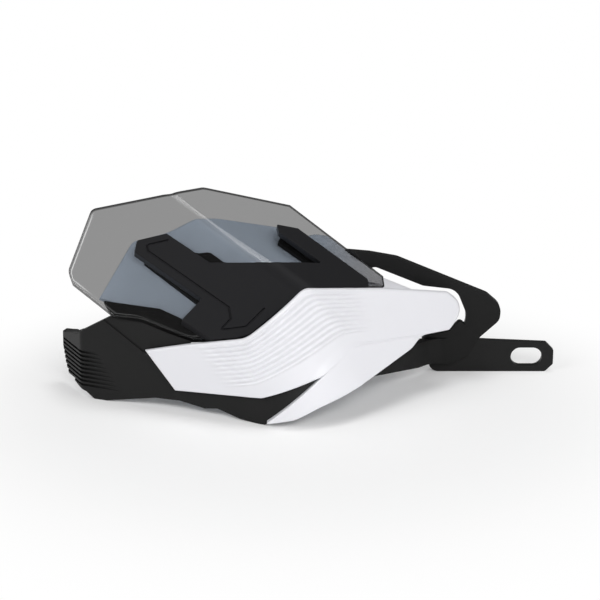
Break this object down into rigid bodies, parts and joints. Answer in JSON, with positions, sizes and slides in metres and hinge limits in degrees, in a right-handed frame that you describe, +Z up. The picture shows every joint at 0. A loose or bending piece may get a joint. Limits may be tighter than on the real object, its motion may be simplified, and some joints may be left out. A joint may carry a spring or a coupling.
{
  "type": "motorcycle hand guard",
  "caption": "Right-hand motorcycle hand guard: a ribbed white shield over a black shell, with a folded smoked wind screen, its clamp, a support frame and a slotted bracket.",
  "frame": {"origin": "centre of the bracket's slot, on the bracket's rear face", "axes": "+X from the bar end towards the mount, +Y to the rear and out of the bracket's rear face, +Z up"},
  "size_m": [0.2965, 0.1166, 0.1171],
  "materials": {
    "white_moulding": "satin white",
    "black_moulding": "fine-grained black",
    "satin_black": "satin black",
    "frame_black": "matt black",
    "bracket_black": "black coat",
    "smoked_screen": "clear smoked sheet",
    "screw_steel": "plain steel",
    "insert_brass": "plain brass",
    "grommet_rubber": "soft black"
  },
  "bodies": {
    "root": {"main_shield": "white_moulding", "outer_shell": "black_moulding", "wind_screen": "smoked_screen", "screen_clamp": "satin_black", "screen_carrier": "black_moulding", "support_frame": "frame_black", "mount_bracket": "bracket_black", "clamp_screws": "screw_steel", "clamp_washers": "screw_steel", "clamp_inserts": "insert_brass", "screen_grommets": "grommet_rubber", "shield_screws": "screw_steel", "shield_washers": "screw_steel", "shell_screws": "screw_steel", "frame_screws": "screw_steel", "frame_washers": "screw_steel", "boss_inserts": "insert_brass", "bracket_bolts": "screw_steel", "frame_inserts": "insert_brass"}
  },
  "joints": []
}
